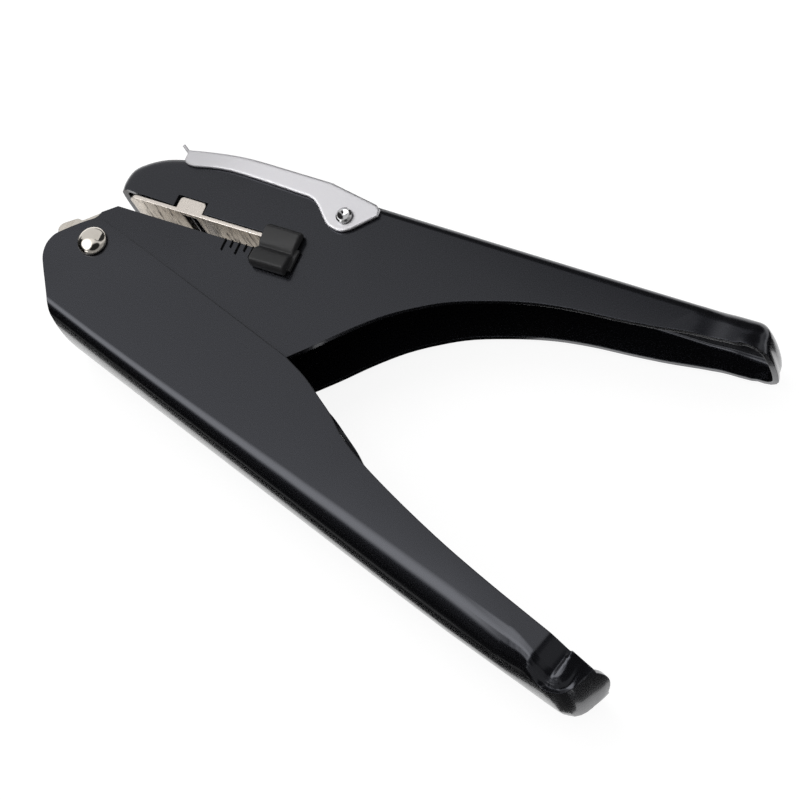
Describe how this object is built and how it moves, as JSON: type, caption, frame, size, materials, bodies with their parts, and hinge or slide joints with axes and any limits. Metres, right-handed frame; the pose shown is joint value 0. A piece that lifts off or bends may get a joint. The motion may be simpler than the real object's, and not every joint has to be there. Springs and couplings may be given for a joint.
{
  "type": "card slot punch",
  "caption": "Plier-shaped hand punch with two channel handles, an open card jaw, a sliding card stop and a flip-up chip cover.",
  "frame": {"origin": "on the main rivet's axis, at the flat end of its tail, where the tool lies on the table", "axes": "+X runs along the card slot from the jaw's mouth towards the handle ends, +Y from the lower jaw to the upper jaw, +Z along the main rivet from its flat tail to its domed head"},
  "size_m": [0.1921, 0.1054, 0.0296],
  "materials": {
    "black_paint": "satin black paint on drawn steel",
    "nickel_plate": "bright nickel plate on steel",
    "satin_silver": "satin silver plate on sheet steel",
    "tool_steel": "ground hardened steel",
    "black_plastic": "matt moulded plastic"
  },
  "bodies": {
    "frame": {"frame_shell": "black_paint", "guide_channel": "nickel_plate", "die_plate": "nickel_plate", "die_insert": "tool_steel", "punch_guide": "tool_steel", "pivot_rivet": "nickel_plate", "pivot_bush": "tool_steel", "return_spring": "tool_steel", "stop_pin": "tool_steel", "cover_rivet_near": "nickel_plate", "cover_rivet_far": "nickel_plate"},
    "handle": {"lower_handle": "black_paint", "drive_bracket": "tool_steel", "drive_pin": "tool_steel"},
    "punch": {"slot_punch": "tool_steel", "punch_foot": "tool_steel", "foot_pin": "tool_steel"},
    "cover": {"chip_cover": "satin_silver"},
    "card_stop": {"stop_block_near": "black_plastic", "stop_block_far": "black_plastic", "stop_bar": "tool_steel"}
  },
  "joints": [
    {"name": "handle_pivot", "type": "hinge", "parent": "frame", "child": "handle", "pos_m": [0, 0, 0.0145], "axis": [0, 0, 1], "range_deg": [0, 17.4], "stiffness_Nm_per_rad": 0.5, "springref_deg": -28.65, "deforming": ["return_spring"]},
    {"name": "punch_slide", "type": "slide", "parent": "frame", "child": "punch", "axis": [0, 1, 0], "range_m": [0, 0.0063]},
    {"name": "cover_hinge", "type": "hinge", "parent": "frame", "child": "cover", "pos_m": [0.0618, 0.0267, 0.0145], "axis": [0, 0, -1], "range_deg": [0, 90]},
    {"name": "stop_slide", "type": "slide", "parent": "frame", "child": "card_stop", "axis": [1, 0, 0], "range_m": [-0.012, 0]}
  ],
  "couplings": [
    {"joint": "punch_slide", "follows": "handle_pivot", "m_per_rad": 0.020532}
  ]
}
